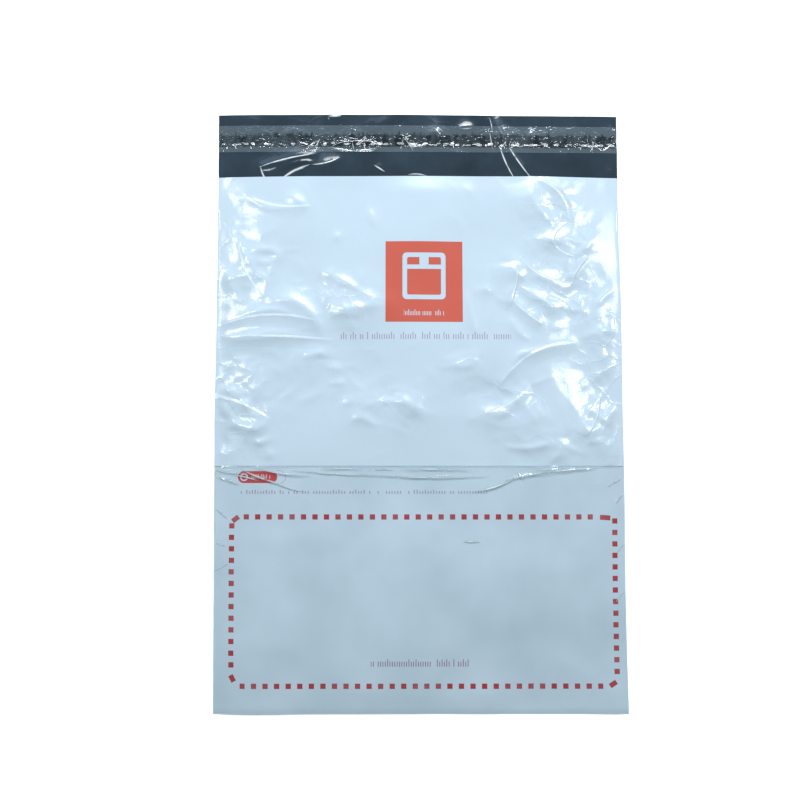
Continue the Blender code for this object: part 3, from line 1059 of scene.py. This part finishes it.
def linerFilm(kit):  # hazy where it lies loose, nearly clear where the glue wets it
    material, tree, shader, place = startMaterial("clear liner film")
    tone, crest = addRelief(tree, shader, place, kit, (0.4, 0.3, 0.6, 0.00010), linerFolds)
    u, v, _ = splitParts(place)
    # painted highlight rings round the air bubbles join the creases' pale lines
    for middle, pitch, seed in liner["glintRingRows"]:
        values = {"U": u, "V": v, "Middle V": middle, "Pitch": pitch, "Seed": seed}
        crest = larger(crest, useGroup(tree, kit["beads"], values)["Mask"])
    haze = blendColour(tone, (0.27, 0.36, 0.42, 1), (0.42, 0.52, 0.58, 1))
    haze = blendColour(readValue(tree, "wetted"), haze, (0.012, 0.02, 0.024, 1))
    # painted highlight: the creases and bubble rims turn pale and less clear in place of glints
    plug(blendColour(crest, haze, printWork["paintedGlint"]), shader["Base Color"])
    plug(calc(tree, "MULTIPLY_ADD", crest, 0.8, 0.13, clamp=True), shader["Alpha"])
    shader["Roughness"].default_value = 0.08
    shader["IOR"].default_value = 2.6
    return material


def makeMaterials():
    kit = {"grain": filmGrainGroup(), "bar": barGroup(), "tally": tallyGroup(), "run": markRunGroup(),
           "turned": turnedMarkGroup(), "fold": foldLineGroup(), "beads": paintedBubbleGlintGroup()}
    return {
        "printed": printedFilm(kit),
        "back": plainFilm("plain white film", kit, (printWork["filmShade"], printWork["film"]), 0.2,
                          (0.25, 0.5, 0.6, 0.00012)),
        "inside": plainFilm("charcoal inside of the film", kit,
                            # its colour wanders at random between two tones; the lighter bluish tone is a
                            # painted sheen standing in for reflections
                            ((0.010, 0.020, 0.028, 1), (0.040, 0.064, 0.092, 1)), 0.10,
                            (0.2, 0.3, 0.3, 0.00010), flapFolds),
        "clear": clearFilm(kit),
        "glue": plainFilm("hot melt glue", kit, ((0.002, 0.006, 0.009, 1), (0.012, 0.026, 0.034, 1)), 0.22,
                          (1.6, 1.6, 0.6, 0.00005), ior=1.25),
        "liner": linerFilm(kit),
    }


studio = {
    "lens": 50,
    "tilt": 5.277,  # degrees off straight down
    "distance": 0.7708,
    "aim": (-0.01344, 0.00573, 0.0),
    "lamps": (  # (place, width, height, power, colour)
        ((0.00, 0.92, 0.97), 1.10, 0.60, 3.1, (0.50, 0.69, 0.92)),  # broad, dim and bluish, behind the flap
        ((0.10, 1.00, 0.96), 0.60, 0.46, 12.0, (0.97, 0.99, 1.0)),  # the three that glint
        ((-0.74, 0.42, 1.05), 0.20, 0.50, 4.2, (0.97, 0.99, 1.0)),
        ((0.76, 0.40, 1.05), 0.20, 0.50, 4.2, (0.97, 0.99, 1.0)),
    ),
    "sky": (0.86, 0.95, 1.0),
    "skyStrength": 0.24,
    "floorGlow": 0.45,
}


def makeStage():
    bpy.ops.mesh.primitive_plane_add(size=6, location=(0, 0, -0.0002))
    floor = bpy.context.object
    floor.name = "studio_floor"
    material = bpy.data.materials.new("pale floor")
    material.use_nodes = True
    shader = material.node_tree.nodes["Principled BSDF"]
    shader.inputs["Base Color"].default_value = (0.92, 0.93, 0.94, 1)
    shader.inputs["Roughness"].default_value = 0.9
    shader.inputs["Specular IOR Level"].default_value = 0.0
    shader.inputs["Emission Color"].default_value = (1, 1, 1, 1)
    shader.inputs["Emission Strength"].default_value = studio["floorGlow"]
    floor.data.materials.append(material)

    for number, (place, width, height, power, colour) in enumerate(studio["lamps"]):
        light = bpy.data.lights.new(f"softbox_{number}", "AREA")
        light.shape = "RECTANGLE"
        light.size = width
        light.size_y = height
        light.energy = power
        light.color = colour
        lamp = bpy.data.objects.new(light.name, light)
        lamp.location = place
        lamp.rotation_euler = (-Vector(place)).to_track_quat("-Z", "Y").to_euler()
        bpy.context.scene.collection.objects.link(lamp)

    world = bpy.data.worlds.new("studio")
    bpy.context.scene.world = world
    world.use_nodes = True
    sky = world.node_tree.nodes["Background"]
    sky.inputs[0].default_value = (*studio["sky"], 1)
    sky.inputs[1].default_value = studio["skyStrength"]


def makeCamera():
    camera = bpy.data.objects.new("camera", bpy.data.cameras.new("camera"))
    camera.data.lens = studio["lens"]
    camera.data.clip_start = 0.05
    tilt = math.radians(studio["tilt"])
    aim = Vector(studio["aim"])
    camera.location = aim + Vector((0, -math.sin(tilt), math.cos(tilt))) * studio["distance"]
    camera.rotation_euler = (tilt, 0, 0)
    bpy.context.scene.collection.objects.link(camera)
    bpy.context.scene.camera = camera
    bpy.context.scene.view_settings.view_transform = "Standard"


makeCamera()
makeStage()
print("stage, lights and camera ready")

looks = makeMaterials()
print("materials ready:", len(looks))

frontPanel = frontShape()
flapPanel = flapShape()
film = makeFilm(frontPanel, flapPanel, [looks["printed"], looks["inside"], looks["back"], looks["inside"]])
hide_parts("mailer_film")
print("bag film:", len(film.data.polygons), "faces")

documentPocket = makePocket(frontPanel, [looks["clear"]])
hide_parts("document_pocket_film")
print("document pocket:", len(documentPocket.data.polygons), "faces")

glueLine = makeGlue(flapPanel, [looks["glue"]])
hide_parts("adhesive_strip")
linerTape = makeLiner(flapPanel, [looks["liner"]])
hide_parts("release_liner")
print("glue line and liner ready")

for piece in (film, documentPocket, glueLine, linerTape):
    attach(piece, "root")
